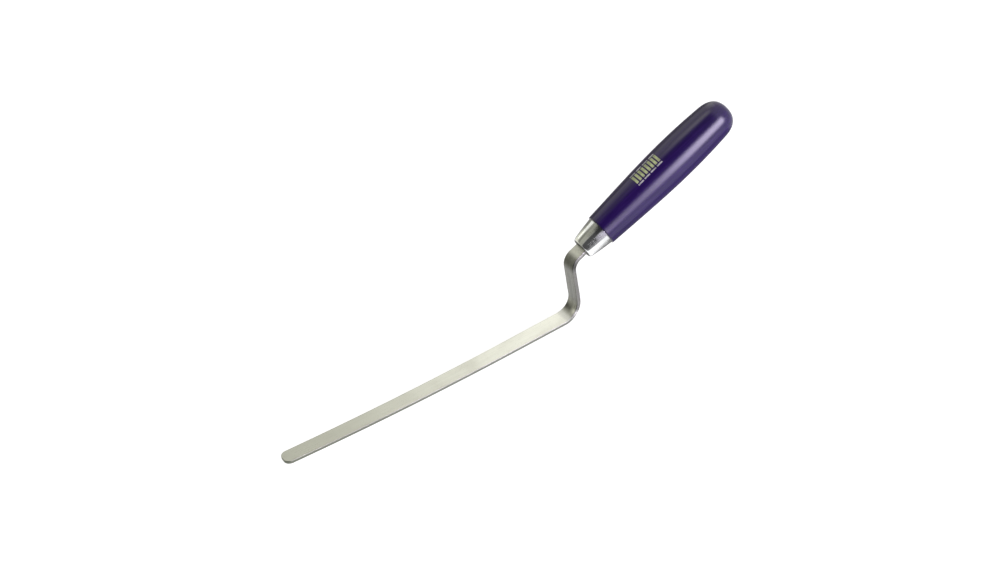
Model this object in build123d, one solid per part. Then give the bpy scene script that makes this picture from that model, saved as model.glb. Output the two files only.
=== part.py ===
"""Bricklayer's joint trowel: a long narrow blade on a cranked neck, with a turned wooden handle.

Three separate pieces: one forging (blade, neck and tang), a pressed ferrule, and the handle.

Frame, in millimetres: +Z is up, and the origin is the centre of the flat land at the heel of the
blade's sole. +X runs from the blade's tip towards the handle, and the tool is mirrored about Y = 0.
"""
from build123d import *
from math import cos, radians, sin, tan
import os

# --- driving dimensions: the forging -------------------------------------------------------------
BLADE_LENGTH = 186.0       # from the tip to the corner where blade and neck would meet
BLADE_THICKNESS = 1.8
BLADE_TIP_WIDTH = 9.5
BLADE_HEEL_WIDTH = 10.6
TIP_CORNER_RADIUS = 3.8
SOLE_LAND = 30.0           # flat length of sole just in front of the heel bend
SOLE_BOW_RADIUS = 1830.0   # the rest of the blade turns up on this radius
HEEL_BEND_RADIUS = 11.2    # on the middle of the strip
NECK_HEIGHT = 35.4         # between the two corners of the crank
NECK_LEAN = 1.7            # degrees off upright, towards the handle
NECK_THICKNESS = 2.5
NECK_WIDTH = 9.6
UPPER_BEND_RADIUS = 7.4    # on the middle of the strip
TANG_WIDTH = 9.1           # where it enters the ferrule
TANG_SHOWING = 9.9         # from the upper corner of the crank to the ferrule's mouth
TANG_PARALLEL = 2.0        # full-width stretch just in front of the mouth
TANG_END_WIDTH = 4.0
TANG_END_THICKNESS = 1.4
TANG_LENGTH = 70.0         # from the ferrule's mouth to the tang's end inside the handle

# --- driving dimensions: the ferrule and the handle ----------------------------------------------
HANDLE_PITCH = 22.0        # degrees above the sole
FERRULE_LENGTH = 14.5
FERRULE_MOUTH_RADIUS = 6.5
FERRULE_REAR_RADIUS = 8.75
FERRULE_WALL = 0.7
FERRULE_LIP_RADIUS = 1.4
HANDLE_LENGTH = 97.3       # the part behind the ferrule
HANDLE_FRONT_RADIUS = 9.5
HANDLE_FRONT_FLARE = 0.05  # how much the radius grows per millimetre just behind the ferrule
HANDLE_BELLY_RADIUS = 11.95
HANDLE_BELLY_PLACE = 57.0  # from the ferrule to the widest place
HANDLE_BUTT_RADIUS = 10.95  # where the rounding of the butt begins
HANDLE_BUTT_LENGTH = 12.0  # how much of the length the rounding takes
BUTT_FULLNESS = 0.74       # how far out the rounding stands at its middle, 0.71 being an ellipse
HANDLE_FRONT_EDGE = 0.4    # softened rim behind the ferrule

# --- clearances ----------------------------------------------------------------------------------
SLOT_CLEARANCE = 0.15      # round the tang in the ferrule's mouth
SPIGOT_CLEARANCE = 0.05    # between the ferrule and the wood inside it
SPIGOT_END_GAP = 0.5       # between the end of the wood and the closed front of the ferrule
SOCKET_SIDE_CLEARANCE = 0.1  # beside the tang in the wood, whose broad faces grip it
SOCKET_END_GAP = 1.5       # beyond the end of the tang

# --- the crank's directions and corners, as (x, z) -----------------------------------------------
lean = radians(NECK_LEAN)
pitch = radians(HANDLE_PITCH)
heel_turn = radians(90.0) - lean
neck_way = Vector(sin(lean), cos(lean))
handle_way = Vector(cos(pitch), sin(pitch))
heel_corner = Vector(SOLE_LAND / 2 + HEEL_BEND_RADIUS * tan(heel_turn / 2), BLADE_THICKNESS / 2)
upper_corner = heel_corner + neck_way * NECK_HEIGHT
mouth = upper_corner + handle_way * TANG_SHOWING
bow_turn = (BLADE_LENGTH - heel_corner.X) / SOLE_BOW_RADIUS

# The handle's own frame: z runs along its axis from the ferrule's mouth, and x is across the tool.
handle_frame = Plane(
    origin=(mouth.X, 0, mouth.Y),
    x_dir=(0, 1, 0),
    z_dir=(handle_way.X, 0, handle_way.Y),
)


def beside(way, gap):
    """A step of gap to the right of a direction in the (x, z) plane."""
    return Vector(way.Y, -way.X) * gap


def crossing(point, way, other, other_way):
    """Where two lines in the (x, z) plane cross."""
    across = way.X * other_way.Y - way.Y * other_way.X
    apart = other - point
    return point + way * ((apart.X * other_way.Y - apart.Y * other_way.X) / across)


def strip_side(side):
    """The outline of the strip on its lower (side = 1) or upper (side = -1) face.

    It runs from the front end of the sole's land round both bends to the ferrule's mouth.
    """
    sole_way = Vector(1, 0)
    level = Vector(0, (1 - side) * BLADE_THICKNESS / 2)
    neck_line = heel_corner + beside(neck_way, side * NECK_THICKNESS / 2)
    tang_line = upper_corner + beside(handle_way, side * NECK_THICKNESS / 2)
    start = Vector(-SOLE_LAND / 2, 0) + level
    heel = crossing(level, sole_way, neck_line, neck_way)
    bend = crossing(neck_line, neck_way, tang_line, handle_way)
    end = tang_line + handle_way * TANG_SHOWING
    half = NECK_THICKNESS / 2
    return FilletPolyline(
        start, heel, bend, end,
        radius=[HEEL_BEND_RADIUS + side * half, UPPER_BEND_RADIUS - side * half],
    )


def bow_side(height):
    """The turned-up stretch of blade, from the flat land to the tip, at a height above the sole."""
    bow_radius = SOLE_BOW_RADIUS - height
    start = Vector(-SOLE_LAND / 2, height)
    middle = start + Vector(-sin(bow_turn / 2), 1 - cos(bow_turn / 2)) * bow_radius
    end = start + Vector(-sin(bow_turn), 1 - cos(bow_turn)) * bow_radius
    return ThreePointArc(start, middle, end)


def side_view():
    """The strip seen from the side, as a face in the (x, y) plane."""
    lower_bow = bow_side(0)
    upper_bow = bow_side(BLADE_THICKNESS)
    lower_strip = strip_side(1)
    upper_strip = strip_side(-1)
    tip = Line(lower_bow @ 1, upper_bow @ 1)
    end = Line(lower_strip @ 1, upper_strip @ 1)
    return make_face([*lower_bow.edges(), tip, *upper_bow.edges(),
                      *upper_strip.edges(), end, *lower_strip.edges()])


def plan_view():
    """The strip seen from above, as a face: slow tapers from the heel, and a rounded tip."""
    stations = [
        (heel_corner.X - BLADE_LENGTH, BLADE_TIP_WIDTH),
        (SOLE_LAND / 2, BLADE_HEEL_WIDTH),
        (upper_corner.X, NECK_WIDTH),
        (mouth.X - TANG_PARALLEL, TANG_WIDTH),
        (mouth.X + NECK_THICKNESS, TANG_WIDTH),
    ]
    near = [(x, -width / 2) for x, width in stations]
    far = [(x, width / 2) for x, width in reversed(stations)]
    outline = make_face(Polyline(*near, *far, close=True))
    tip_corners = outline.vertices().sort_by(Axis.X)[:2]
    return fillet(tip_corners, TIP_CORNER_RADIUS)


def tang_spike(side_clearance, end_gap):
    """The tapered tang, or the socket for it, from the ferrule's mouth to its end."""
    wide = Rectangle(TANG_WIDTH + 2 * side_clearance, NECK_THICKNESS)
    narrow = Rectangle(TANG_END_WIDTH + 2 * side_clearance, TANG_END_THICKNESS)
    spike = loft([wide, Pos(0, 0, TANG_LENGTH) * narrow])
    if end_gap > 0:
        spike += extrude(Pos(0, 0, TANG_LENGTH) * narrow, end_gap)
    return handle_frame.location * spike


def make_blade_and_tang():
    """One forging: the blade, the cranked neck and the tang."""
    half_room = max(BLADE_TIP_WIDTH, BLADE_HEEL_WIDTH, NECK_WIDTH, TANG_WIDTH)
    side_solid = extrude(Plane.XZ.location * side_view(), half_room, both=True)
    room = side_solid.bounding_box().size.Z
    plan_solid = extrude(Pos(0, 0, -room) * plan_view(), 3 * room)
    strip = side_solid & plan_solid
    return strip + tang_spike(0, 0)


def ferrule_radius(place):
    """The ferrule's outer radius at a distance behind its mouth."""
    rise = (FERRULE_REAR_RADIUS - FERRULE_MOUTH_RADIUS) / FERRULE_LENGTH
    return FERRULE_MOUTH_RADIUS + rise * place


def turned(profile):
    """Turn a profile drawn with (radius, distance behind the mouth) about the handle's axis."""
    return handle_frame.location * revolve(Plane.XZ.location * profile, Axis.Z)


def make_ferrule():
    """A pressed steel cone, closed at the front apart from the slot for the tang."""
    inner_front = ferrule_radius(FERRULE_WALL) - FERRULE_WALL
    outline = make_face(Polyline(
        (0, 0),
        (FERRULE_MOUTH_RADIUS, 0),
        (FERRULE_REAR_RADIUS, FERRULE_LENGTH),
        (FERRULE_REAR_RADIUS - FERRULE_WALL, FERRULE_LENGTH),
        (inner_front, FERRULE_WALL),
        (0, FERRULE_WALL),
        close=True,
    ))
    outer_lip = outline.vertices().sort_by_distance((FERRULE_MOUTH_RADIUS, 0, 0))[0]
    outline = fillet(outer_lip, FERRULE_LIP_RADIUS)
    inner_lip = outline.vertices().sort_by_distance((inner_front, FERRULE_WALL, 0))[0]
    outline = fillet(inner_lip, FERRULE_LIP_RADIUS - FERRULE_WALL)
    slot = Box(
        TANG_WIDTH + 2 * SLOT_CLEARANCE,
        NECK_THICKNESS + 2 * SLOT_CLEARANCE,
        3 * FERRULE_WALL,
    )
    return turned(outline) - handle_frame.location * slot


def make_handle():
    """Turned wood: a spigot inside the ferrule, a slow swell and a rounded butt."""
    spigot_start = FERRULE_WALL + SPIGOT_END_GAP
    inside = FERRULE_WALL + SPIGOT_CLEARANCE
    end = FERRULE_LENGTH + HANDLE_LENGTH
    butt_start = end - HANDLE_BUTT_LENGTH
    front = (HANDLE_FRONT_RADIUS, FERRULE_LENGTH)
    belly = (HANDLE_BELLY_RADIUS, FERRULE_LENGTH + HANDLE_BELLY_PLACE)
    butt = (HANDLE_BUTT_RADIUS, butt_start)
    rounding = (HANDLE_BUTT_RADIUS * BUTT_FULLNESS, butt_start + HANDLE_BUTT_LENGTH * BUTT_FULLNESS)
    swell = Spline(front, belly, tangents=[(HANDLE_FRONT_FLARE, 1), (0, 1)])
    back = Spline(belly, butt, rounding, (0, end), tangents=[(0, 1), (-1, 0)])
    spigot = Polyline(
        (0, end),
        (0, spigot_start),
        (ferrule_radius(spigot_start) - inside, spigot_start),
        (ferrule_radius(FERRULE_LENGTH) - inside, FERRULE_LENGTH),
        front,
    )
    outline = make_face([swell, back, *spigot.edges()])
    rim = outline.vertices().sort_by_distance((*front, 0))[0]
    outline = fillet(rim, HANDLE_FRONT_EDGE)
    spigot_corner = (ferrule_radius(spigot_start) - inside, spigot_start, 0)
    corner = outline.vertices().sort_by_distance(spigot_corner)[0]
    outline = chamfer(corner, FERRULE_LIP_RADIUS - FERRULE_WALL)
    return turned(outline) - tang_spike(SOCKET_SIDE_CLEARANCE, SOCKET_END_GAP)


nodes = {
    "blade_and_tang": make_blade_and_tang(),
    "ferrule": make_ferrule(),
    "handle": make_handle(),
}

os.makedirs("parts", exist_ok=True)
for name, shape in nodes.items():
    export_step(shape, f"parts/{name}.step")
    box = shape.bounding_box()
    print(name, f"{shape.volume:.0f} mm3", box.min, box.max)
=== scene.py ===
# %% [markdown]
# # A bricklayer's joint trowel
# A long narrow steel blade, a cranked neck, a plated ferrule and a turned, lacquered handle.
# The design model already fixes every size. This file gives the tool its looks around that model.
# It first loads the model as a fixed frame.

# %% Load the frame
from math import asin, cos, pi, radians, sin, tan

import bmesh
import bpy
import numpy as np
from mathutils import Matrix, Vector, noise


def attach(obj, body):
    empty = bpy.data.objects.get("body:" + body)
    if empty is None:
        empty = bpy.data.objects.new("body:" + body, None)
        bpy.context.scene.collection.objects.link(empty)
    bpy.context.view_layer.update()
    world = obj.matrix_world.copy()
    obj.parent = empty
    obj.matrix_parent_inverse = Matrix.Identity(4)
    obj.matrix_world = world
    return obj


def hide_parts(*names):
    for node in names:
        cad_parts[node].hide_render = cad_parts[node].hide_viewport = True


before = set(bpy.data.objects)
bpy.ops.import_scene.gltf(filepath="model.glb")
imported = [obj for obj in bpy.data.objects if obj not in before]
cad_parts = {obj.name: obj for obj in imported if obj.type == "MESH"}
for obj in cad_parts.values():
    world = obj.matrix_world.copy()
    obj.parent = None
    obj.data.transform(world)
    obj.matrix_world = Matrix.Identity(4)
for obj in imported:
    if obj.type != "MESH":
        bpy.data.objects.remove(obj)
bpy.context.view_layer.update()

# %% [markdown]
# ## The tool's own sizes
# Blender works in metres, and a maker thinks of a trowel in millimetres, so each size is written in
# millimetres times `MM`. They are the driving sizes of the design, and a few of the places they give
# are printed below.

# %% Name the sizes
MM = 0.001
TOUCHING = 0.0005 * MM
BLADE_LENGTH = 186.0 * MM
BLADE_THICKNESS = 1.8 * MM
BLADE_TIP_WIDTH = 9.5 * MM
BLADE_HEEL_WIDTH = 10.6 * MM
TIP_CORNER_RADIUS = 3.8 * MM
SOLE_LAND = 30.0 * MM
SOLE_BOW_RADIUS = 1830.0 * MM
HEEL_BEND_RADIUS = 11.2 * MM
NECK_HEIGHT = 35.4 * MM
NECK_LEAN = radians(1.7)
NECK_THICKNESS = 2.5 * MM
NECK_WIDTH = 9.6 * MM
UPPER_BEND_RADIUS = 7.4 * MM
TANG_WIDTH = 9.1 * MM
TANG_SHOWING = 9.9 * MM
TANG_END_WIDTH = 4.0 * MM
TANG_END_THICKNESS = 1.4 * MM
TANG_LENGTH = 70.0 * MM
HANDLE_PITCH = radians(22.0)
FERRULE_LENGTH = 14.5 * MM
FERRULE_MOUTH_RADIUS = 6.5 * MM
FERRULE_REAR_RADIUS = 8.75 * MM
FERRULE_WALL = 0.7 * MM
FERRULE_LIP_RADIUS = 1.4 * MM
HANDLE_LENGTH = 97.3 * MM
HANDLE_FRONT_RADIUS = 9.5 * MM
HANDLE_FRONT_FLARE = 0.05
HANDLE_BELLY_RADIUS = 11.95 * MM
HANDLE_BELLY_PLACE = 57.0 * MM
HANDLE_BUTT_RADIUS = 10.95 * MM
HANDLE_BUTT_LENGTH = 12.0 * MM

# %% Find the crank's corners
heel_turn = pi / 2 - NECK_LEAN
upper_turn = heel_turn - HANDLE_PITCH
heel_reach = HEEL_BEND_RADIUS * tan(heel_turn / 2)
upper_reach = UPPER_BEND_RADIUS * tan(upper_turn / 2)
heel_corner = Vector((SOLE_LAND / 2 + heel_reach, 0, BLADE_THICKNESS / 2))
neck_way = Vector((sin(NECK_LEAN), 0, cos(NECK_LEAN)))
handle_way = Vector((cos(HANDLE_PITCH), 0, sin(HANDLE_PITCH)))
upper_corner = heel_corner + neck_way * NECK_HEIGHT
mouth = upper_corner + handle_way * TANG_SHOWING
junction = mouth + handle_way * FERRULE_LENGTH
print("ferrule's mouth at", [round(c / MM, 2) for c in mouth], "mm")

# %% [markdown]
# ## A bench for node trees
# Geometry Nodes and materials are both trees of nodes. Written one node at a time they are hard to
# read, so `Wire` wraps a socket and lets ordinary `+ - * /` add the Math nodes, also with the number
# first, as in `1 - mask`. `Bench.add` makes any other node: its settings are set first, because they
# can change which sockets it has, and then each socket gets a value or a link.

# %% Wires and benches
class Wire:
    """A node's output socket that can be used in arithmetic."""

    def __init__(self, bench, socket):
        self.bench = bench
        self.socket = socket

    def math(self, operation, *others, first=False):
        sides = [self, *others]
        if first:
            sides.reverse()
        node = self.bench.tree.nodes.new("ShaderNodeMath")
        node.operation = operation
        for place, side in enumerate(sides):
            self.bench.feed(node.inputs[place], side)
        return Wire(self.bench, node.outputs[0])

    def __add__(self, other):
        return self.math("ADD", other)

    def __radd__(self, other):
        return self.math("ADD", other, first=True)

    def __sub__(self, other):
        return self.math("SUBTRACT", other)

    def __rsub__(self, other):
        return self.math("SUBTRACT", other, first=True)

    def __mul__(self, other):
        return self.math("MULTIPLY", other)

    def __rmul__(self, other):
        return self.math("MULTIPLY", other, first=True)

    def __truediv__(self, other):
        return self.math("DIVIDE", other)

    def __rtruediv__(self, other):
        return self.math("DIVIDE", other, first=True)

    def __pow__(self, other):
        return self.math("POWER", other)

    def between(self, low, high):
        return self.math("MAXIMUM", low).math("MINIMUM", high)

    def step(self, start, end):
        """0 before start, 1 after end, and a smooth ramp between them."""
        share = ((self - start) / (end - start)).between(0, 1)
        return share * share * (3 - 2 * share)


class Bench:
    """A node tree that is being built."""

    def __init__(self, tree):
        self.tree = tree

    def feed(self, socket, value):
        """Link a wire to a socket, or set the socket's own value."""
        if isinstance(value, Wire):
            self.tree.links.new(value.socket, socket)
        else:
            socket.default_value = value

    def add(self, kind, settings=None, output=0, **values):
        """Make one node. An underscore in a value's name stands for a space in the socket's."""
        node = self.tree.nodes.new(kind)
        for name, setting in (settings or {}).items():
            setattr(node, name, setting)
        for name, value in values.items():
            sockets = [s for s in node.inputs if s.enabled and s.name == name.replace("_", " ")]
            self.feed(sockets[0], value)
        live = [socket for socket in node.outputs if socket.enabled]
        return Wire(self, live[output]) if live else node

    def parts(self, vector):
        """The x, y and z of a vector, as three wires."""
        node = self.tree.nodes.new("ShaderNodeSeparateXYZ")
        self.feed(node.inputs[0], vector)
        return [Wire(self, out) for out in node.outputs]

    def vector(self, x=0.0, y=0.0, z=0.0):
        return self.add("ShaderNodeCombineXYZ", X=x, Y=y, Z=z)

    def mix(self, share, first, second):
        """A colour between two others."""
        kind = {"data_type": "RGBA"}
        return self.add("ShaderNodeMix", kind, Factor=share, A=first, B=second)


class Finish(Bench):
    """The node tree of one material."""

    def __init__(self, name):
        self.material = bpy.data.materials.new(name)
        self.material.use_nodes = True
        self.material.node_tree.nodes.clear()
        super().__init__(self.material.node_tree)

    def grain(self, vector, scale, detail=3.0, **more):
        """Cloudy noise round 0.5."""
        return self.add("ShaderNodeTexNoise", Vector=vector, Scale=scale, Detail=detail, **more)

    def relief(self, height, depth, strength=1.0):
        return self.add("ShaderNodeBump", Height=height, Distance=depth, Strength=strength)

    def shade(self, **values):
        """End the tree in one Principled shader, and give the material."""
        look = self.add("ShaderNodeBsdfPrincipled", **values)
        output = self.tree.nodes.new("ShaderNodeOutputMaterial")
        self.tree.links.new(look.socket, output.inputs[0])
        return self.material


print("bench ready")

# %% [markdown]
# ## Making a mesh from rings
# The forging and the ferrule are both skins over a row of outlines: rings of points that are joined
# by four-sided faces. `skin` does that for any block of rings, and it writes a UV map in metres, so
# that scratches can run along the steel round both bends, which object coordinates can't follow.

# %% A skin over rings
def face_out(piece):
    """Merge doubles, drop slivers, and turn every face outwards."""
    work = bmesh.new()
    work.from_mesh(piece.data)
    bmesh.ops.remove_doubles(work, verts=work.verts, dist=TOUCHING)
    bmesh.ops.dissolve_degenerate(work, edges=work.edges, dist=TOUCHING)
    bmesh.ops.recalc_face_normals(work, faces=work.faces)
    if work.calc_volume(signed=True) < 0:
        bmesh.ops.reverse_faces(work, faces=work.faces)
    open_edges = sum(not edge.is_manifold for edge in work.edges)
    print(piece.name, "open edges:", open_edges, " volume:",
          round(work.calc_volume() / MM ** 3), "mm3")
    work.to_mesh(piece.data)
    work.free()


def skin(name, rings, along, around, caps=(), closed=False, **marks):
    """A mesh over rings[station, point] = xyz, with a UV map and marks[station, point] to paint by."""
    stations, points = rings.shape[:2]
    faces = []
    spots = []
    for row in range(stations if closed else stations - 1):
        after = (row + 1) % stations
        for point in range(points):
            beside = (point + 1) % points
            faces.append((
                row * points + point,
                row * points + beside,
                after * points + beside,
                after * points + point,
            ))
            for step, turn in ((row, point), (row, point + 1), (row + 1, point + 1), (row + 1, point)):
                spots.append((along[step], around[turn]))
    for row, outline in caps:
        faces.append([row * points + point for point in outline])
        spots += [(along[row], around[point]) for point in outline]
    mesh = bpy.data.meshes.new(name)
    mesh.from_pydata(rings.reshape(-1, 3).tolist(), [], faces)
    mesh.uv_layers.new(name="surface").data.foreach_set("uv", np.array(spots).ravel())
    mesh.polygons.foreach_set("use_smooth", [True] * len(faces))
    for mark, values in marks.items():
        layer = mesh.attributes.new(mark, "FLOAT", "POINT")
        layer.data.foreach_set("value", np.broadcast_to(values, rings.shape[:2]).ravel())
    piece = bpy.data.objects.new(name, mesh)
    bpy.context.scene.collection.objects.link(piece)
    face_out(piece)
    return piece


def finish_piece(piece, material, slot, *nodes):
    """Give a piece its finish, tie it to the tool, and hide the design parts it stands for."""
    piece.data.materials.clear()
    piece.data.materials.append(material)
    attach(piece, "root")
    if nodes:
        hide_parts(*nodes)
    triangles = sum(len(p.vertices) - 2 for p in piece.data.polygons)
    print(piece.name, "has", triangles, "triangles")

# %% [markdown]
# ## Two ways to make a piece
# What follows a rule, such as the turned handle and the printed bars, comes from a Geometry Nodes
# tree. `Recipe` is a bench for such a tree: it names the inputs, sets them on a modifier by their
# identifiers, and turns the result into a plain mesh that no longer needs the tree.

# %% A recipe for Geometry Nodes
class Recipe(Bench):
    """A Geometry Nodes tree with named inputs, which ends as a plain mesh."""

    def __init__(self, name, **sizes):
        super().__init__(bpy.data.node_groups.new(name, "GeometryNodeTree"))
        face = self.tree.interface
        self.values = {}
        for label, value in sizes.items():
            kind = "NodeSocketInt" if isinstance(value, int) else "NodeSocketFloat"
            title = label.replace("_", " ").capitalize()
            socket = face.new_socket(title, in_out="INPUT", socket_type=kind)
            self.values[socket.identifier] = value
        face.new_socket("Geometry", in_out="OUTPUT", socket_type="NodeSocketGeometry")
        entry = self.tree.nodes.new("NodeGroupInput")
        self.size = {label: Wire(self, entry.outputs[i]) for i, label in enumerate(sizes)}

    def place(self, geometry, position):
        return self.add("GeometryNodeSetPosition", Geometry=geometry, Position=position)

    def cook(self, name, geometry, material):
        """Close the tree, run it once, and keep the mesh that it makes."""
        whole = self.add("GeometryNodeRealizeInstances", Geometry=geometry)
        whole = self.add("GeometryNodeSetMaterial", Geometry=whole, Material=material)
        end = self.tree.nodes.new("NodeGroupOutput")
        self.tree.links.new(whole.socket, end.inputs[0])
        host = bpy.data.objects.new(name + "_host", bpy.data.meshes.new(name + "_host"))
        bpy.context.scene.collection.objects.link(host)
        modifier = host.modifiers.new("recipe", "NODES")
        modifier.node_group = self.tree
        for identifier, value in self.values.items():
            modifier[identifier] = value
        graph = bpy.context.evaluated_depsgraph_get()
        made = bpy.data.meshes.new_from_object(
            host.evaluated_get(graph),
            preserve_all_data_layers=True,
            depsgraph=graph,
        )
        bpy.data.objects.remove(host)
        made.name = name
        piece = bpy.data.objects.new(name, made)
        bpy.context.scene.collection.objects.link(piece)
        face_out(piece)
        return piece

# %% [markdown]
# ## The forging
# Blade, neck and tang are one strip of steel. A smith draws it out, grinds the blade and bends the
# crank. Here the middle of the strip is a walk of straight legs and arcs, from the blade's tip to the
# tang's hidden end, and a section with softened edges is carried along it. That keeps a clean row
# of faces round both bends, where cutting a solid out of two outlines would leave slivers.

# %% Walk along the strip
blade_tip_x = heel_corner.x - BLADE_LENGTH
middle = BLADE_THICKNESS / 2
bow_turn = asin((-SOLE_LAND / 2 - blade_tip_x) / SOLE_BOW_RADIUS)
bow_length = (SOLE_BOW_RADIUS - middle) * bow_turn
heel_bend = HEEL_BEND_RADIUS * heel_turn
upper_bend = UPPER_BEND_RADIUS * upper_turn
LEGS = [
    (bow_length, bow_turn),
    (SOLE_LAND, 0),
    (heel_bend, heel_turn),
    (NECK_HEIGHT - heel_reach - upper_reach, 0),
    (upper_bend, -upper_turn),
    (TANG_SHOWING - upper_reach, 0),
    (TANG_LENGTH, 0),
]
marks = np.cumsum([0] + [length for length, turn in LEGS])
to_heel, to_neck, to_upper, to_tang, to_mouth, to_end = marks[2:]


def step_along(place, heading, length, turn):
    """The place (x, z) and heading after one leg, straight or curved."""
    if not turn:
        return place + length * np.array([cos(heading), sin(heading)]), heading
    radius = length / turn
    new = heading + turn
    return place + radius * np.array([sin(new) - sin(heading), cos(heading) - cos(new)]), new


def follow(distance):
    """The place and heading at a distance from the blade's tip."""
    rise = (SOLE_BOW_RADIUS - middle) * (1 - cos(bow_turn))
    place, heading = np.array([blade_tip_x, middle + rise]), -bow_turn
    for length, turn in LEGS:
        share = min(distance / length, 1.0)
        place, heading = step_along(place, heading, length * share, turn * share)
        distance -= length * share
    return place, heading


end_place, _ = follow(to_end)
print("walk of", round(to_end / MM, 1), "mm ends at", np.round(end_place / MM, 2), "mm")

# %% [markdown]
# The strip's width tapers slowly, and its thickness changes at the heel. The ground blade has crisp
# edges, and the forged neck has softer ones and is never quite true, so a little slow noise moves its
# sides. The rounded tip needs care: there the rings fan round the two corners, and narrow strips
# from side to side close the end.

# %% Size the section
BLADE_EDGE = 0.28 * MM
NECK_EDGE = 0.62 * MM
TANG_PARALLEL = 2.0 * MM
FORGED_SWAY = 0.16 * MM
CORNER_STEPS = 4
FLAT_SHARES = (-0.94, -0.7, -0.35, 0.0, 0.35, 0.7, 0.94)
TIP_STEPS = 14
MEASURED_RING = 60

plan_x = [blade_tip_x, SOLE_LAND / 2, upper_corner.x, mouth.x - TANG_PARALLEL, mouth.x]
plan_width = [BLADE_TIP_WIDTH, BLADE_HEEL_WIDTH, NECK_WIDTH, TANG_WIDTH, TANG_WIDTH]


def ease(value, start, end):
    share = np.clip((value - start) / (end - start), 0, 1)
    return share * share * (3 - 2 * share)


def forging_share(distance):
    """0 on the ground blade and 1 from the heel bend on."""
    return ease(distance, to_heel + 3 * MM, to_heel + 9.5 * MM)


def sway(distance, row):
    """Slow unevenness from -1 to 1 that hammer and file leave."""
    return noise.noise(Vector((distance / (4.5 * MM), row, 0.5))) * 1.6


def section(distance):
    """Half the width, half the thickness, edge radius and how forged the strip is there."""
    (x, _), _ = follow(distance)
    width = np.interp(x, plan_x, plan_width)
    thick = BLADE_THICKNESS + (NECK_THICKNESS - BLADE_THICKNESS) * ease(distance, to_heel, to_neck)
    inside = max(0.0, distance - to_mouth) / TANG_LENGTH
    width += (TANG_END_WIDTH - TANG_WIDTH) * inside
    thick += (TANG_END_THICKNESS - NECK_THICKNESS) * inside
    forged = forging_share(distance)
    edge = BLADE_EDGE + (NECK_EDGE - BLADE_EDGE) * forged * (1 - inside)
    loose = forged * (1 - ease(distance, to_mouth - 4 * MM, to_mouth - 1 * MM)) * FORGED_SWAY
    width += loose * sway(distance, 3.1)
    thick += loose * sway(distance, 7.7) * 0.6
    return width / 2, thick / 2, min(edge, thick * 0.42), forged


def ring_pattern():
    """How far in, across and up each point of a section sits, as shares of its sizes."""
    angles = np.linspace(pi / 2, 0, CORNER_STEPS + 1)
    pattern = []
    for side in (-1, 1):
        for share in FLAT_SHARES:
            pattern.append((1, side * share, side, side))
        for angle in angles:
            pattern.append((1 - cos(angle), side, side, side * sin(angle)))
        pattern.append((0, side, 0, 0))
        for angle in reversed(angles):
            pattern.append((1 - cos(angle), side, -side, -side * sin(angle)))
    return np.array(pattern)


print("neck section:", [round(float(v) / MM, 2) for v in section(to_neck + 5 * MM)[:3]], "mm")

# %% [markdown]
# Now the rings. Besides its place, each point keeps a few marks for the finish: `rim` is 1 on the
# narrow sides and `forged` is 1 where the grinder didn't reach. The others paint light and shade:
# one is 1 in the two bends and paints shade there, one paints shade that darkens the blade near
# the heel, one paints the tang lighter as a highlight, and `glint` paints a highlight, a bright
# spot on one side.

# %% Carry the section along
pattern = ring_pattern()


def ring(distance, turn=pi / 2):
    """The points of one section. A turn under a right angle lies round the tip's two corners."""
    half_width, half_thick, edge, _ = section(distance)
    place, heading = follow(distance)
    forward = np.array([cos(heading), sin(heading)])
    upward = np.array([-sin(heading), cos(heading)])
    inset = pattern[:, 0] * edge
    corner = TIP_CORNER_RADIUS - inset
    ahead = -corner * cos(turn)
    across = (half_width - TIP_CORNER_RADIUS + corner * sin(turn)) * pattern[:, 1]
    height = pattern[:, 2] * (half_thick - edge) + pattern[:, 3] * edge
    flat = place + ahead[:, None] * forward + height[:, None] * upward
    return np.stack([flat[:, 0], across, flat[:, 1]], axis=1)


def end_faces():
    """Strips from side to side that close the tip, each between two heights of the first ring."""
    half = len(pattern) // 2
    flats = len(FLAT_SHARES)
    near = list(range(flats, half))
    far = list(range(len(pattern) - 1, half + flats - 1, -1))
    strips = [[near[j], near[j + 1], far[j + 1], far[j]] for j in range(len(near) - 1)]
    strips[0] += list(range(flats))
    strips[-1][2:2] = list(range(half, half + flats))
    return [(0, strip) for strip in strips]


def spread(start, end, step):
    return np.linspace(start, end, max(2, round((end - start) / step) + 1))[1:]


corner_turns = np.linspace(0, pi / 2, TIP_STEPS + 1)
tip_rings = [ring(TIP_CORNER_RADIUS, turn) for turn in corner_turns]
distances = np.concatenate([
    spread(TIP_CORNER_RADIUS, to_heel - 2 * MM, 2.5 * MM),
    spread(to_heel - 2 * MM, to_neck, 0.35 * MM),
    spread(to_neck, to_upper, 0.6 * MM),
    spread(to_upper, to_tang, 0.3 * MM),
    spread(to_tang, to_mouth, 0.6 * MM),
    spread(to_mouth, to_end, 4 * MM),
])
rings = np.array(tip_rings + [ring(distance) for distance in distances])
tip_along = [TIP_CORNER_RADIUS * (1 - cos(turn)) for turn in corner_turns]
along = np.concatenate([tip_along, distances])
measured = rings[MEASURED_RING]
sides = np.linalg.norm(np.roll(measured, -1, axis=0) - measured, axis=1)
around = np.concatenate([[0], np.cumsum(sides)])


def hump(start, end):
    """1 at the middle of a stretch, and 0 outside it."""
    middle = (start + end) / 2
    return ease(along, start, middle) * (1 - ease(along, middle, end))


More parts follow.
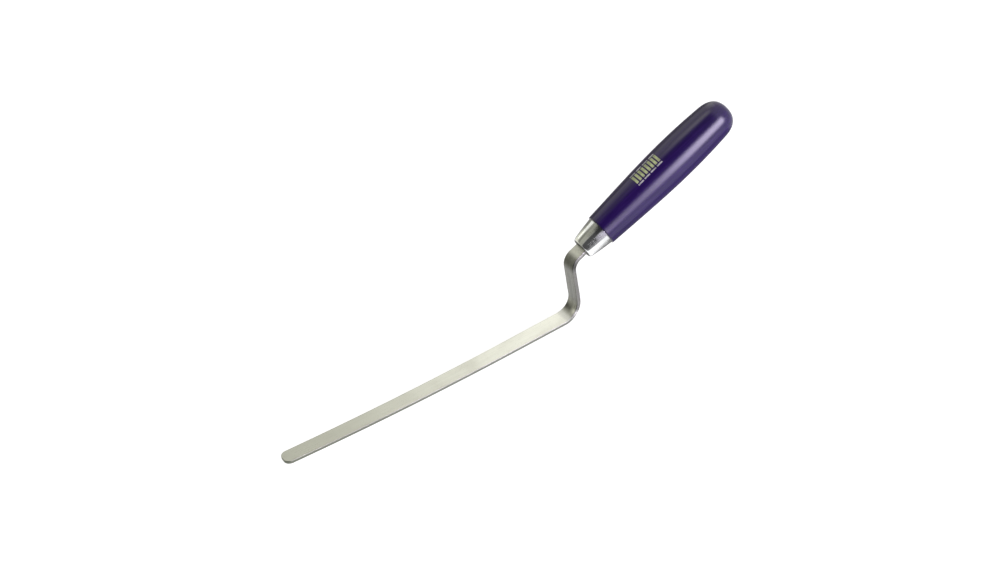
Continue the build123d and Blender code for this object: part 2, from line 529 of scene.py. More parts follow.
far_side = ease(pattern[:, 1], -0.7, 1.0)
heel_share = hump(to_heel + 2 * MM, to_neck - 3.5 * MM)
upper_share = hump(to_upper - 1.5 * MM, to_tang - 0.5 * MM)
forging = skin(
    "forging", rings, along, around,
    caps=end_faces() + [(len(rings) - 1, range(len(pattern)))],
    rim=1 - np.abs(pattern[:, 3]) ** 2,
    forged=forging_share(along)[:, None],
    # painted shade: darkens the blade near the heel
    heat=ease(along, to_heel - 5 * MM, to_heel + 4.5 * MM)[:, None],
    # painted highlight: lightens the tang
    rubbed=ease(along, to_tang - 2.5 * MM, to_tang + 1.0 * MM)[:, None],
    # painted highlight: a bright spot on the near side by the heel bend
    glint=hump(to_heel + 5.5 * MM, to_heel + 11.5 * MM)[:, None] * (1 - ease(pattern[:, 1], -0.9, -0.1)),
    # painted shade in the two bends, darker on the far side at the heel
    bend=heel_share[:, None] * (0.25 + 0.75 * far_side) + 0.8 * upper_share[:, None],
)
print("forging from", np.round(rings.min((0, 1)), 4), "to", np.round(rings.max((0, 1)), 4), "m")

# %% [markdown]
# ## Steel
# The blade is ground bright with lengthwise lines, and handling leaves cloudy patches and a few long
# scratches. Its colour darkens towards the tip, a painted falloff of reflected light, and near the
# heel, as painted shade. The neck keeps a greyer, rougher skin from the forge, with painted shade in
# the bends and the tang painted lighter as a highlight. The narrow sides are a little rougher, and
# their colour is painted darker as shade. The lines follow the UV map in metres, so they go round the
# bends as a belt grinder's would.

# %% Satin and forged steel
# the darker tone towards the tip is a painted falloff of reflected light
TIP_SHADE_STEEL = (0.44, 0.445, 0.40, 1)
GROUND_STEEL = (0.86, 0.86, 0.82, 1)
# painted shade near the heel
HEEL_SHADE_GREY = (0.17, 0.175, 0.145, 1)
HAZE = (0.48, 0.47, 0.43, 1)
GRINDING_LINE = (0.42, 0.41, 0.38, 1)
FORGED_DARK = (0.31, 0.31, 0.29, 1)
FORGED_LIGHT = (0.42, 0.42, 0.395, 1)
FORGED_SKIN = (0.22, 0.22, 0.205, 1)
# painted highlight on the tang
TANG_HIGHLIGHT_STEEL = (0.80, 0.80, 0.72, 1)
# painted shade in the bends
BEND_SHADE_BLACK = (0.03, 0.03, 0.025, 1)
# painted highlight, a bright spot by the heel
GLINT_STEEL = (0.95, 0.95, 0.90, 1)
# painted shade on the narrow sides
SIDE_SHADE_GREY = (0.13, 0.15, 0.10, 1)
PIT_BROWN = (0.12, 0.11, 0.10, 1)
TIP_FALLOFF_LENGTH = 175 * MM
STEEL_RELIEF = 0.018 * MM


def read_mark(bench, name):
    """One of the marks that `skin` wrote on the mesh."""
    return bench.add("ShaderNodeAttribute", {"attribute_name": name}, output=2)


def make_steel():
    steel = Finish("satin steel")
    strip = steel.add("ShaderNodeUVMap", {"uv_map": "surface"})
    run, side, _ = steel.parts(strip)
    solid = steel.add("ShaderNodeTexCoord", output=3)
    rim = read_mark(steel, "rim")
    forged = read_mark(steel, "forged")
    bend = read_mark(steel, "bend")
    heat = read_mark(steel, "heat")
    rubbed = read_mark(steel, "rubbed")
    glint = read_mark(steel, "glint")
    lines = steel.grain(steel.vector(run * 35, side * 5200), 1.0, 4.0)
    broad_lines = steel.grain(steel.vector(run * 18, side * 900), 1.0, 2.0)
    scratch = steel.grain(steel.vector(run * 60 + side * 40, side * 2600 + run * 90), 1.0, 1.0)
    scratch = scratch.step(0.66, 0.72)
    cloud = steel.grain(solid, 55.0, 4.0)
    skin_noise = steel.grain(solid, 900.0, 4.0)
    pits = steel.grain(solid, 2600.0, 2.0).step(0.64, 0.74)
    # painted falloff of reflected light: the blade darker towards its tip
    bright = steel.mix(run.step(0.0, TIP_FALLOFF_LENGTH), TIP_SHADE_STEEL, GROUND_STEEL)
    # painted shade near the heel
    bright = steel.mix(heat * (0.6 + 0.4 * cloud), bright, HEEL_SHADE_GREY)
    bright = steel.mix(cloud.step(0.45, 0.75) * 0.35, bright, HAZE)
    bright = steel.mix(lines.step(0.3, 0.75) * 0.3, bright, GRINDING_LINE)
    dull = steel.mix(broad_lines.step(0.3, 0.7), FORGED_DARK, FORGED_LIGHT)
    dull = steel.mix(skin_noise.step(0.35, 0.7) * 0.5, dull, FORGED_SKIN)
    # painted highlight: the tang lighter, less on its narrow sides
    dull = steel.mix(rubbed * (0.7 - 0.6 * rim), dull, TANG_HIGHLIGHT_STEEL)
    # painted shade in the bends
    dull = steel.mix(bend * (0.6 + 0.5 * cloud), dull, BEND_SHADE_BLACK)
    colour = steel.mix(forged, bright, dull)
    # painted highlight: the bright spot by the heel
    colour = steel.mix(glint, colour, GLINT_STEEL)
    # painted shade: the narrow sides darker, most on the ground blade
    colour = steel.mix(rim * (0.70 - 0.60 * forged), colour, SIDE_SHADE_GREY)
    colour = steel.mix(pits * 0.5, colour, PIT_BROWN)
    rough = 0.20 + 0.10 * lines + 0.10 * cloud + 0.12 * forged + 0.12 * scratch + 0.1 * rim
    height = 0.5 * lines + 0.4 * broad_lines - 0.8 * scratch
    height = height + forged * (1.6 * skin_noise + 1.2 * broad_lines) - 0.8 * pits
    return steel.shade(
        Base_Color=colour,
        Metallic=1.0,
        Roughness=rough,
        Normal=steel.relief(height, STEEL_RELIEF, 0.8),
    )


steel = make_steel()
finish_piece(forging, steel, "blade_steel", "blade_and_tang")

# %% [markdown]
# ## The ferrule
# A ferrule stops the handle from splitting where the tang goes in. This one is pressed from thin
# plated steel: a short cone, closed at the front apart from a slot for the tang. It is one closed
# band of rings again: each ring is a circle, except at the front, where it eases into the slot. The
# outside swells by a hair at its middle, which only shapes its reflections. The design's cone is
# straight.

# %% Press the ferrule
SLOT_CLEARANCE = 0.15 * MM
REAR_EDGE = 0.22 * MM
BULGE = 0.16 * MM
FERRULE_POINTS = 120
handle_turn = Matrix.Rotation(pi / 2 - HANDLE_PITCH, 3, "Y")
cone_rise = (FERRULE_REAR_RADIUS - FERRULE_MOUTH_RADIUS) / FERRULE_LENGTH
cone_angle = np.arctan(cone_rise)
lip_z = FERRULE_LIP_RADIUS
lip_r = FERRULE_MOUTH_RADIUS + cone_rise * lip_z - FERRULE_LIP_RADIUS / cos(cone_angle)


def cone(place, inset=0.0):
    return FERRULE_MOUTH_RADIUS + cone_rise * place - inset


def lip(radius, angles):
    return [(lip_r + radius * cos(a), lip_z + radius * sin(a), 1.0) for a in angles]


def ferrule_profile():
    """(radius, distance behind the mouth, share of a circle) round the ferrule's wall."""
    curl = np.linspace(-pi / 2, -cone_angle, 10)
    rear = FERRULE_LENGTH
    inner = FERRULE_LIP_RADIUS - FERRULE_WALL
    face = [(lip_r, 0.0, share) for share in (0.0, 0.03, 0.35, 0.7)]
    back_face = [(lip_r, FERRULE_WALL, share) for share in (0.7, 0.35, 0.03, 0.0)]
    places = np.linspace(lip_z * 1.3, rear - REAR_EDGE, 26)
    swell = BULGE * 4 * (places / rear) * (1 - places / rear)
    outside = [(cone(z, -rise), z, 1.0) for z, rise in zip(places, swell)]
    rim = [(cone(rear, REAR_EDGE * (1 - sin(a))), rear - REAR_EDGE * (1 - cos(a)), 1.0)
           for a in np.linspace(pi / 2 * 0.75, 0, 4)]
    wall_end = [(cone(rear, FERRULE_WALL), rear, 1.0)]
    inside = [(cone(z, FERRULE_WALL), z, 1.0) for z in np.linspace(rear - 0.4 * MM, lip_z * 1.3, 12)]
    return (face + lip(FERRULE_LIP_RADIUS, curl) + outside + rim + wall_end + inside
            + lip(inner, curl[::-1]) + back_face)


profile = ferrule_profile()
turns = np.linspace(0, 2 * pi, FERRULE_POINTS, endpoint=False)
circle = np.stack([np.cos(turns), np.sin(turns)], axis=1)
slot_half = np.array([NECK_THICKNESS / 2 + SLOT_CLEARANCE, TANG_WIDTH / 2 + SLOT_CLEARANCE])
slot_edge = circle / np.abs(circle / slot_half).max(axis=1)[:, None]
turn_matrix = np.array(handle_turn)
ferrule_rings = np.array([
    np.column_stack([slot_edge * (1 - share) + circle * radius * share, np.full(len(turns), z)])
    for radius, z, share in profile
]) @ turn_matrix.T + np.array(mouth)
steps = [abs(a[0] * a[2] - b[0] * b[2]) + abs(a[1] - b[1]) for a, b in zip(profile, profile[1:])]
ferrule = skin(
    "ferrule_shell", ferrule_rings,
    np.concatenate([[0], np.cumsum(steps), [sum(steps) + FERRULE_WALL]]),
    np.linspace(0, 2 * pi * FERRULE_REAR_RADIUS, FERRULE_POINTS + 1),
    closed=True,
    edge=np.array([[1.0 if abs(z - FERRULE_LENGTH) < 2 * REAR_EDGE else 0.0] for _, z, _ in profile]),
    # painted shade: the ferrule's front face round the slot is nearly black
    grime=np.array([[1.0 - ease(z, 0.05 * MM, 0.5 * MM)] for _, z, _ in profile]),
)
print("ferrule radii:", round(lip_r / MM, 2), round(cone(FERRULE_LENGTH) / MM, 2), "mm")

# %% [markdown]
# Plating is nearly a mirror. What makes it read as metal is what it mirrors and the little that
# breaks the mirror: faint rings from polishing on a lathe, smudges from hands, and the slow ripple
# that pressing leaves in thin sheet.

# %% Bright plating
PLATING = (0.93, 0.94, 0.95, 1)
SMUDGED = (0.76, 0.77, 0.77, 1)
WORN_THROUGH = (0.30, 0.29, 0.28, 1)
# painted shade on the front face
FRONT_FACE_SHADE = (0.035, 0.034, 0.03, 1)
PLATING_RELIEF = 0.012 * MM


def make_plating():
    plate = Finish("bright plating")
    where = plate.add("ShaderNodeUVMap", {"uv_map": "surface"})
    run, side, _ = plate.parts(where)
    solid = plate.add("ShaderNodeTexCoord", output=3)
    edge = read_mark(plate, "edge")
    grime = read_mark(plate, "grime")
    ring_lines = plate.grain(plate.vector(run * 7000, side * 60), 1.0, 3.0)
    smudge = plate.grain(solid, 160.0, 5.0).step(0.45, 0.75)
    ripple = plate.grain(solid, 110.0, 1.0)
    specks = plate.grain(solid, 1800.0, 1.0).step(0.7, 0.76)
    colour = plate.mix(smudge * 0.5, PLATING, SMUDGED)
    colour = plate.mix(specks * 0.6 + edge * 0.25, colour, WORN_THROUGH)
    # painted shade on the front face round the slot, which is also rougher
    colour = plate.mix(grime * 0.9, colour, FRONT_FACE_SHADE)
    rough = 0.05 + 0.04 * ring_lines + 0.08 * smudge + 0.1 * edge + 0.4 * grime
    fine = plate.relief(ring_lines + 14.0 * ripple, PLATING_RELIEF, 0.8)
    return plate.shade(Base_Color=colour, Metallic=1.0, Roughness=rough, Normal=fine)


finish_piece(ferrule, make_plating(), "ferrule_chrome", "ferrule")

# %% [markdown]
# ## Violet lacquer
# The handle is wood under a coloured lacquer. The colour is dark and even, slightly thinner on the
# grain's ridges. The lacquer levels out in the pores, but a long, shallow grain still telegraphs
# through, so the highlight along the handle is soft and a little streaky. A Mapping node turns the
# pattern into the handle's own frame.

# %% Violet lacquer
def in_handle_frame(bench):
    """Object coordinates seen from the handle: z runs along it from the ferrule's rear."""
    solid = bench.add("ShaderNodeTexCoord", output=3)
    return bench.add(
        "ShaderNodeMapping",
        {"vector_type": "TEXTURE"},
        Vector=solid,
        Location=junction,
        Rotation=handle_turn.to_euler(),
    )


VIOLET = (0.015, 0.0035, 0.066, 1)
VIOLET_THIN = (0.032, 0.009, 0.110, 1)
VIOLET_DEEP = (0.006, 0.002, 0.028, 1)
LACQUER_RELIEF = 0.02 * MM


def lacquer_tones(bench):
    """The lacquer's colour and its streaks, for the wood and for the ink's worn spots."""
    across, up, run = bench.parts(in_handle_frame(bench))
    streak = bench.grain(bench.vector(across * 900, up * 900, run * 45), 1.0, 4.0)
    cloud = bench.grain(bench.vector(across * 60, up * 60, run * 25), 1.0, 3.0)
    tone = bench.mix(streak.step(0.4, 0.75) * 0.55, VIOLET, VIOLET_THIN)
    tone = bench.mix(cloud.step(0.4, 0.8) * 0.5, tone, VIOLET_DEEP)
    return tone, streak, cloud, run


def make_lacquer():
    lacquer = Finish("violet lacquer")
    tone, streak, cloud, run = lacquer_tones(lacquer)
    frame_point = in_handle_frame(lacquer)
    dust = lacquer.grain(frame_point, 2400.0, 1.0).step(0.72, 0.78)
    # painted shade: the first 1.5 mm behind the ferrule are darkened; dust adds dark specks everywhere
    front = 1 - run.step(0.0, 1.5 * MM)
    colour = lacquer.mix(front * 0.7 + dust * 0.15, tone, VIOLET_DEEP)
    rough = 0.16 + 0.07 * cloud + 0.07 * streak
    orange_peel = lacquer.grain(frame_point, 330.0, 2.0)
    fine = lacquer.relief(0.5 * streak + 1.3 * orange_peel - dust, LACQUER_RELIEF, 0.8)
    return lacquer.shade(
        Base_Color=colour,
        Roughness=rough,
        Normal=fine,
        Coat_Weight=0.35,
        Coat_Roughness=0.18,
    )


lacquer = make_lacquer()
print("lacquer nodes:", len(lacquer.node_tree.nodes))

# %% [markdown]
# ## The turned handle
# The handle is turned on a lathe, so its shape is one rule: a radius for each distance behind the
# ferrule. It swells slowly to a belly and ends in a full, rounded butt. The tree bends a flat grid
# round the axis by that rule. The first rows make the spigot that sits inside the ferrule, and a
# tapered wedge then cuts the socket for the tang.

# %% The handle's rule
def handle_radius(size, place):
    """The radius at a distance behind the ferrule: an easy swell, then a full rounding."""
    u = (place / size["belly_place"]).between(0, 1)
    swell = (size["belly"] - size["front"]) * (u * u * (3 - 2 * u))
    flare = size["flare"] * size["belly_place"] * (u * (1 - u) * (1 - u))
    rest = (place - size["belly_place"]) / (size["length"] - size["belly_place"])
    rest = rest.between(0, 1)
    end = ((place - size["length"]) / size["butt_length"] + 1).between(0, 1)
    rounding = (1 - end ** BUTT_FULLNESS) ** (1 / BUTT_FULLNESS)
    return (size["front"] + swell + flare - size["taper"] * rest * rest) * rounding


BUTT_FULLNESS = 2.7
butt_share = 1 - HANDLE_BUTT_LENGTH / (HANDLE_LENGTH - HANDLE_BELLY_PLACE)
HANDLE_RULE = {
    "length": HANDLE_LENGTH,
    "front": HANDLE_FRONT_RADIUS,
    "flare": HANDLE_FRONT_FLARE,
    "belly": HANDLE_BELLY_RADIUS,
    "belly_place": HANDLE_BELLY_PLACE,
    "butt_length": HANDLE_BUTT_LENGTH,
    "taper": (HANDLE_BELLY_RADIUS - HANDLE_BUTT_RADIUS) / butt_share ** 2,
}

# %% Turn the handle
FRONT_EDGE = 0.4 * MM
SPIGOT_START = FERRULE_WALL + 0.5 * MM
SPIGOT_INSET = FERRULE_WALL + 0.05 * MM
SPIGOT_CHAMFER = 0.7 * MM
SOCKET_SIDE = 0.1 * MM
SOCKET_END = 1.5 * MM
spigot_tip = cone(SPIGOT_START, SPIGOT_INSET)
SPIGOT_STEPS = [
    (0.0, SPIGOT_START - FERRULE_LENGTH),
    (spigot_tip - SPIGOT_CHAMFER, SPIGOT_START - FERRULE_LENGTH),
    (spigot_tip, SPIGOT_START + SPIGOT_CHAMFER - FERRULE_LENGTH),
    (cone(FERRULE_LENGTH, SPIGOT_INSET), 0.0),
]


def stairs(row, values):
    """A value for each of the first rows, which holds after the last one."""
    total = 0.0
    for step, (before, after) in enumerate(zip([0.0] + values, values)):
        total = (row.math("GREATER_THAN", step - 0.5)) * (after - before) + total
    return total


def turn_handle():
    recipe = Recipe("turned handle", **HANDLE_RULE, front_edge=FRONT_EDGE, ripple=0.02 * MM,
                    rows=170, points_round=120, seed=4)
    size = recipe.size
    grid = recipe.add(
        "GeometryNodeMeshGrid",
        Size_X=1.0,
        Size_Y=1.0,
        Vertices_X=size["points_round"] + 1,
        Vertices_Y=size["rows"],
    )
    x, y, _ = recipe.parts(recipe.add("GeometryNodeInputPosition"))
    turn = (x + 0.5) * (2 * pi)
    row = (y + 0.5) * (size["rows"] - 1)
    spigot_rows = len(SPIGOT_STEPS)
    share = ((row - spigot_rows) / (size["rows"] - 1 - spigot_rows)).between(0, 1)
    place = size["length"] * (1 - (share * pi).math("COSINE")) / 2
    near_edge = (1 - place / size["front_edge"]).between(0, 1)
    softened = size["front_edge"] * (1 - (1 - near_edge * near_edge) ** 0.5)
    body = handle_radius(size, place) - softened
    wobble = recipe.add(
        "ShaderNodeTexNoise",
        {"noise_dimensions": "4D"},
        Vector=recipe.vector(turn.math("COSINE"), turn.math("SINE"), place * 60),
        W=size["seed"] * 1.7,
        Scale=1.1,
        Detail=1.0,
    )
    body = body + (wobble - 0.5) * size["ripple"] * (1 - share ** 8)
    on_body = row.math("GREATER_THAN", spigot_rows - 0.5)
    radius = stairs(row, [r for r, z in SPIGOT_STEPS]) * (1 - on_body) + body * on_body
    height = stairs(row, [z for r, z in SPIGOT_STEPS]) * (1 - on_body) + place * on_body
    spot = recipe.vector(radius * turn.math("COSINE"), radius * turn.math("SINE"), height)
    wood = recipe.place(grid, spot)
    wood = recipe.add("GeometryNodeMergeByDistance", Geometry=wood, Distance=TOUCHING)
    wood = recipe.add("GeometryNodeSetShadeSmooth", Geometry=wood, Shade_Smooth=True)
    wedge = recipe.add("GeometryNodeMeshCube", Size=(1, 1, 1))
    a, b, c = recipe.parts(recipe.add("GeometryNodeInputPosition"))
    depth = c + 0.5
    thick = NECK_THICKNESS + (TANG_END_THICKNESS - NECK_THICKNESS) * depth
    wide = TANG_WIDTH + (TANG_END_WIDTH - TANG_WIDTH) * depth + 2 * SOCKET_SIDE
    deep = depth * (TANG_LENGTH + SOCKET_END) - FERRULE_LENGTH
    wedge = recipe.place(wedge, recipe.vector(a * thick, b * wide, deep))
    cut = recipe.add("GeometryNodeMeshBoolean", {"operation": "DIFFERENCE", "solver": "EXACT"})
    boolean = cut.socket.node
    recipe.tree.links.new(wood.socket, boolean.inputs["Mesh 1"])
    recipe.tree.links.new(wedge.socket, boolean.inputs["Mesh 2"])
    placed = recipe.add(
        "GeometryNodeTransform",
        Geometry=cut,
        Translation=junction,
        Rotation=handle_turn.to_euler(),
    )
    return recipe.cook("turned_handle", placed, lacquer)


handle = turn_handle()
finish_piece(handle, lacquer, "handle_lacquer", "handle")

# %% [markdown]
# ## The printed pattern
# Such a handle carries some print. This one is a plain pattern that stands for no maker: a row of
# green bars across the handle, between two rows of white dashes. Each is drawn flat, with x along the
# handle and y round it, and then wrapped onto the wood by the same radius rule. Ink is a film, so the
# pieces are thin closed plates that stand a few hundredths of a millimetre proud.

# %% Worn ink
def make_ink(name, colour, faded, worn_at):
    ink = Finish(name)
    tone, streak, cloud, _ = lacquer_tones(ink)
    point = in_handle_frame(ink)
    patch = ink.grain(point, 520.0, 3.0)
    fine = ink.grain(point, 2100.0, 2.0)
    body = ink.mix(patch.step(0.35, 0.65), colour, faded)
    gone = (0.6 * patch + 0.4 * fine).step(worn_at, worn_at + 0.08)
    # real wear: where the ink is rubbed thin, the lacquer's tone shows through
    rubbed = 0.10 + 0.18 * streak
    return ink.shade(
        Base_Color=ink.mix(gone * 0.85 + (1 - gone) * rubbed, body, tone),
        Roughness=0.42 + 0.12 * fine,
        Normal=ink.relief(patch + fine - 2 * gone, 0.015 * MM, 0.7),
    )


GREEN = (0.60, 0.68, 0.32, 1)
GREEN_FADED = (0.40, 0.46, 0.21, 1)
WHITE = (0.74, 0.74, 0.70, 1)
WHITE_FADED = (0.36, 0.36, 0.35, 1)

green_ink = make_ink("green ink", GREEN, GREEN_FADED, worn_at=0.70)
white_ink = make_ink("white ink", WHITE, WHITE_FADED, worn_at=0.58)
print("two inks")

# %% Wrap and print
FILM = 0.03 * MM
SUNK = 0.02 * MM


def plate(recipe, long, wide):
    """A thin plate with enough faces along it to follow the round handle."""
    size = recipe.vector(long, wide, FILM + SUNK)
    kind = {"Vertices_X": 7, "Vertices_Y": 7}
    return recipe.add("GeometryNodeMeshCube", Size=size, **kind)


def spread_plates(recipe, points, long, wide):
    return recipe.add(
        "GeometryNodeInstanceOnPoints",
        Points=points,
        Instance=plate(recipe, long, wide),
    )


def wrap(recipe, geometry):
    """Lay flat shapes on the handle: x is distance along it, y is distance round it."""
    flat = recipe.add("GeometryNodeRealizeInstances", Geometry=geometry)
    place, arc, lift = recipe.parts(recipe.add("GeometryNodeInputPosition"))
    radius = handle_radius(recipe.size, place)
    turn = arc / radius
    proud = -1 * (radius + lift + (FILM - SUNK) / 2)
    spot = recipe.vector(proud * turn.math("COSINE"), proud * turn.math("SINE"), place)
    return recipe.add(
        "GeometryNodeTransform",
        Geometry=recipe.place(flat, spot),
        Translation=junction,
        Rotation=handle_turn.to_euler(),
    )


def join(recipe, *parts):
    node = recipe.tree.nodes.new("GeometryNodeJoinGeometry")
    for part in reversed(parts):
        recipe.tree.links.new(part.socket, node.inputs[0])
    return Wire(recipe, node.outputs[0])


def row_of_plates(recipe, count, start, arc, long, wide, gap):
    """Equal plates side by side along the handle."""
    line = recipe.add(
        "GeometryNodeMeshLine",
        Count=count,
        Start_Location=recipe.vector(start + long / 2, arc + wide / 2, 0.0),
        Offset=recipe.vector(long + gap, 0.0, 0.0),
    )
    return spread_plates(recipe, line, long, wide)


def print_green():
    recipe = Recipe("green bars", **HANDLE_RULE, bars=8, start=31.0 * MM, arc=-1.2 * MM,
                    bar=1.5 * MM, across=5.6 * MM, gap=0.9 * MM)
    size = recipe.size
    bars = row_of_plates(recipe, size["bars"], size["start"], size["arc"],
                         size["bar"], size["across"], size["gap"])
    return recipe.cook("green_print", wrap(recipe, bars), green_ink)


def print_white():
    recipe = Recipe("white dashes", **HANDLE_RULE, dashes=4, start=31.0 * MM, upper=-2.8 * MM,
                    lower=5.2 * MM, dash=3.9 * MM, line=0.8 * MM, gap=0.9 * MM)
    size = recipe.size
    rows = [
        row_of_plates(recipe, size["dashes"], size["start"], size[arc],
                      size["dash"], size["line"], size["gap"])
        for arc in ("upper", "lower")
    ]
    return recipe.cook("white_print", wrap(recipe, join(recipe, *rows)), white_ink)


green_print = print_green()
white_print = print_white()
finish_piece(green_print, green_ink, "handle_lacquer")
finish_piece(white_print, white_ink, "handle_lacquer")

# %% [markdown]
# ## Camera
# The camera looks down on the tool from the blade's side, and it is rolled a little, so that the tool
# lies across the picture from corner to corner. Its place is worked out from a target on the tool, two
# angles, a roll and a distance, which are easier to change than a row of coordinates.

# %% Set the camera
CAMERA_TARGET = Vector((-13.42, 5.69, 41.86)) * MM
CAMERA_AZIMUTH = radians(-23.338)
CAMERA_ELEVATION = radians(38.487)
CAMERA_ROLL = radians(-12.637)
CAMERA_DISTANCE = 1.0
CAMERA_LENS = 66.36

lens = bpy.data.cameras.new("camera")
lens.lens = CAMERA_LENS
lens.sensor_width = 36.0
lens.clip_start = 0.01
camera = bpy.data.objects.new("camera", lens)
bpy.context.scene.collection.objects.link(camera)
aim = (
    Matrix.Rotation(CAMERA_AZIMUTH, 4, "Z")
    @ Matrix.Rotation(pi / 2 - CAMERA_ELEVATION, 4, "X")
    @ Matrix.Rotation(CAMERA_ROLL, 4, "Z")
)
camera.matrix_world = Matrix.Translation(CAMERA_TARGET) @ aim @ Matrix.Translation((0, 0, CAMERA_DISTANCE))
bpy.context.scene.camera = camera
print("camera at", [round(c, 3) for c in camera.matrix_world.translation], "m")

# %% [markdown]
# ## Floor and light
# A plain white sheet lies under the tool. It glows a little, like a light table, so its shadow stays
# faint. The tool doesn't mirror it, so what a face mirrors is set by the light alone.

# %% Lay the sheet
def make_sheet():
    paper = Finish("white sheet")
    solid = paper.add("ShaderNodeTexCoord", output=3)
    fibre = paper.grain(solid, 220.0, 3.0)
    return paper.shade(
        Base_Color=paper.mix(fibre, (0.28, 0.28, 0.28, 1), (0.31, 0.31, 0.31, 1)),
        Roughness=0.9,
        Emission_Color=(1.0, 1.0, 1.0, 1),
        Emission_Strength=0.9,
    )


sheet_mesh = bpy.data.meshes.new("white_sheet")
half = 6.0
corners = [(-half, -half, 0), (half, -half, 0), (half, half, 0), (-half, half, 0)]
sheet_mesh.from_pydata(corners, [], [(0, 1, 2, 3)])
sheet_mesh.materials.append(make_sheet())
sheet = bpy.data.objects.new("white_sheet", sheet_mesh)
bpy.context.scene.collection.objects.link(sheet)
sheet.visible_glossy = False
print("sheet of", 2 * half, "m")

# %% [markdown]
# Metal shows its surroundings, so each light is chosen by what a face mirrors. One wide soft box
# hangs behind the tool, for the blade's face.

# %% Hang the soft box
def softbox(name, aim_at, way, distance, size, radiance):
    """A rectangular light seen from aim_at in a direction, as bright as radiance says."""
    lamp = bpy.data.lights.new(name, "AREA")
    lamp.shape = "RECTANGLE"
    lamp.size, lamp.size_y = size
    lamp.energy = radiance * pi * size[0] * size[1]
    box = bpy.data.objects.new(name, lamp)
    back = Vector(way).normalized()
    side = Vector((1, 0, 0))
    side = (side - back * side.dot(back)).normalized()
    turn = Matrix((side, back.cross(side), back)).transposed().to_4x4()
    box.matrix_world = Matrix.Translation(Vector(aim_at) + back * distance) @ turn
    bpy.context.scene.collection.objects.link(box)
    print(name, "gives", round(lamp.energy, 2), "W")


softbox("back_box", (0.02, 0, 0.01), (0.14, 0.72, 0.66), 0.9, (1.00, 0.60), 0.5)

# %% [markdown]
# The rest of the light is a round tent, painted lighter and darker. A turned handle and a cone mirror
# the tent as bands along their length, so the tent is described the way they see it: `turn` is the
# angle round the handle's axis, in degrees, with 0 towards the front, and `slide` says how far a
# direction leans along the handle, from -1 to 1. The ferrule is a cone and leans its mirror image
# forward, so it sees a strip of the tent that the handle doesn't.

# %% Look round the tent
def agreement(sky, way, direction):
    """How far a looking direction agrees with another one, from -1 to 1."""
    facing = sky.add("ShaderNodeVectorMath", {"operation": "DOT_PRODUCT"})
    sky.feed(facing.socket.node.inputs[0], way)
    sky.feed(facing.socket.node.inputs[1], direction)
    return facing


def window(value, start, end, soft):
    """1 between start and end, with soft sides."""
    opened = value.step(start - soft, start + soft)
    return opened * (1 - value.step(end - soft, end + soft))


axis = Vector(handle_way)
viewer = (camera.matrix_world.translation - CAMERA_TARGET).normalized()
front = (viewer - axis * viewer.dot(axis)).normalized()
beside = axis.cross(front)
print("round the handle: front", np.round(front, 3), "side", np.round(beside, 3))

# %% [markdown]
# Over the handle the tent is dim, with a dark band in front, a paler band low on the near side, and
# one long bright strip that grows towards the butt. That strip draws the highlight. Over the ferrule
# there is a dark band in front too, greys on the far side and white on the near side. A band is three
# angles in degrees: where it starts, where it ends and how soft its sides are.

# %% Paint the tent
FAR_SIDE = (-112, -52, 10)
FAR_CORNER = (-74, -52, 8)
FRONT_DARK = (-42, 8, 8)
HIGHLIGHT = (17, 50, 10)
NEAR_SIDE = (56, 98, 12)


def over_handle(turn, slide):
    tent = 0.20 + 0.08 * window(turn, *FAR_SIDE) + 0.72 * window(turn, *NEAR_SIDE)
    tent = tent - 0.18 * window(turn, *FRONT_DARK)
    return tent + 1.5 * window(turn, *FAR_CORNER) * slide.step(0.08, 0.24)


def bright_strip(turn, slide):
    growing = 0.2 + 9.2 * slide.step(-0.12, 0.34)
    return window(turn, *HIGHLIGHT) * growing * (1 - slide.step(0.50, 0.75))


CONE_BACK_GREY = (-140, -104, 8)
CONE_FAR_SHADE = (-84, -64, 4)
CONE_FAR_GREY = (-64, -24, 4)
CONE_END_BAR = (8, 60, 5)
CONE_END_LEAN = (0.13, 0.20, 0.015)
CONE_NEAR_GREY = (42, 60, 4)
CONE_NEAR_WHITE = (61, 145, 6)


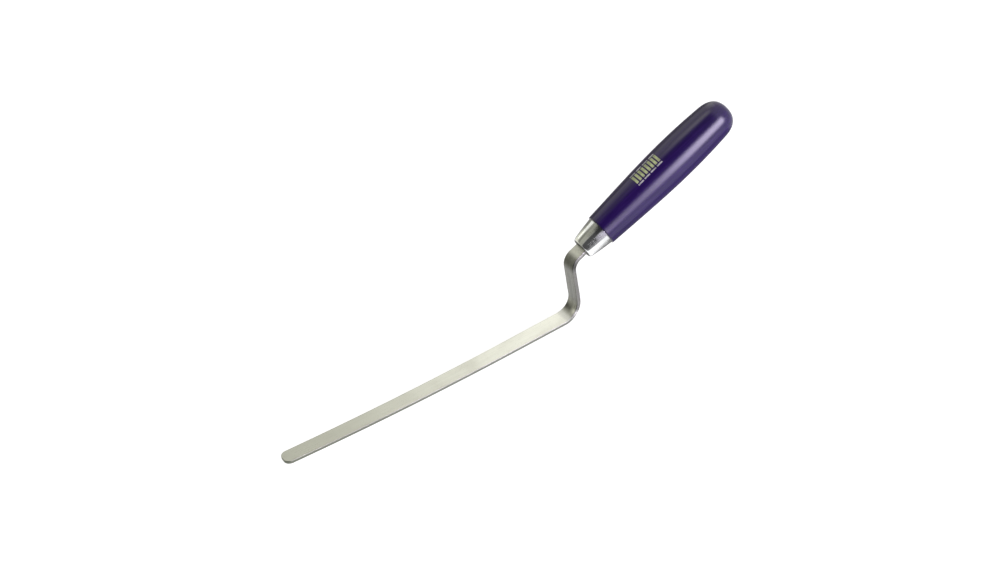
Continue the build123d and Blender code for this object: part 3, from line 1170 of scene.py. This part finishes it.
def over_ferrule(turn, lean):
    tent = 0.075 + 0.27 * window(turn, *CONE_FAR_GREY) + 0.14 * window(turn, *CONE_FAR_SHADE)
    tent = tent + 0.52 * (1 - turn.step(-90, -80)) + 0.18 * window(turn, *CONE_BACK_GREY)
    tent = tent + 0.12 * window(turn, *CONE_NEAR_GREY) + 0.55 * turn.step(56, 66)
    tent = tent + 0.55 * window(turn, *CONE_NEAR_WHITE)
    return tent + 0.9 * window(turn, *CONE_END_BAR) * window(lean, *CONE_END_LEAN)


# %% [markdown]
# All of it joins into one brightness for each direction. Directions that lean far towards the butt
# are what the blade's face mirrors, those that lean little or away from it are the ferrule's, and the
# rest are the handle's. A glow from below lights the neck, one side is tinted a little warm, and the
# highlight's side a little violet.

# %% Light the surroundings
CONE_LEAN = 0.303
HANDLE_LEAN = 0.2
FACE_GLOW = 0.71
BELOW_GLOW = 0.22
BELOW_WAY = Vector((-0.347, 0.719, -0.60)).normalized()
WHITE_LIGHT = (1, 1, 1, 1)
WARM_LIGHT = (1.0, 1.0, 0.84, 1)
VIOLET_LIGHT = (1.0, 0.91, 1.15, 1)
WARM_SIDE = (-145, -25, 15)
VIOLET_SIDE = (8, 56, 8)


def make_surroundings():
    world = bpy.data.worlds.new("pale studio")
    world.use_nodes = True
    world.node_tree.nodes.clear()
    sky = Bench(world.node_tree)
    way = sky.add("ShaderNodeTexCoord", output=0)
    slide = agreement(sky, way, axis)
    turn = agreement(sky, way, beside).math("ARCTAN2", agreement(sky, way, front)) * (180 / pi)
    half_turn = (turn * (pi / 360)).math("COSINE")
    low = 1 - (slide + HANDLE_LEAN * half_turn).step(0.025, 0.085)
    high = slide.step(0.34, 0.48)
    light = over_handle(turn, slide) * (1 - low) * (1 - high)
    light = light + over_ferrule(turn, slide + CONE_LEAN * half_turn) * low
    light = light + bright_strip(turn, slide) * (1 - low)
    below = agreement(sky, way, BELOW_WAY).step(0.70, 0.96)
    light = light + FACE_GLOW * high + BELOW_GLOW * below
    tint = sky.mix(window(turn, *WARM_SIDE), WHITE_LIGHT, WARM_LIGHT)
    tint = sky.mix(window(turn, *VIOLET_SIDE) * (1 - low), tint, VIOLET_LIGHT)
    glow = sky.add("ShaderNodeBackground", Color=tint, Strength=light)
    output = world.node_tree.nodes.new("ShaderNodeOutputWorld")
    world.node_tree.links.new(glow.socket, output.inputs[0])
    bpy.context.scene.world = world


make_surroundings()
bpy.context.scene.view_settings.view_transform = "Standard"
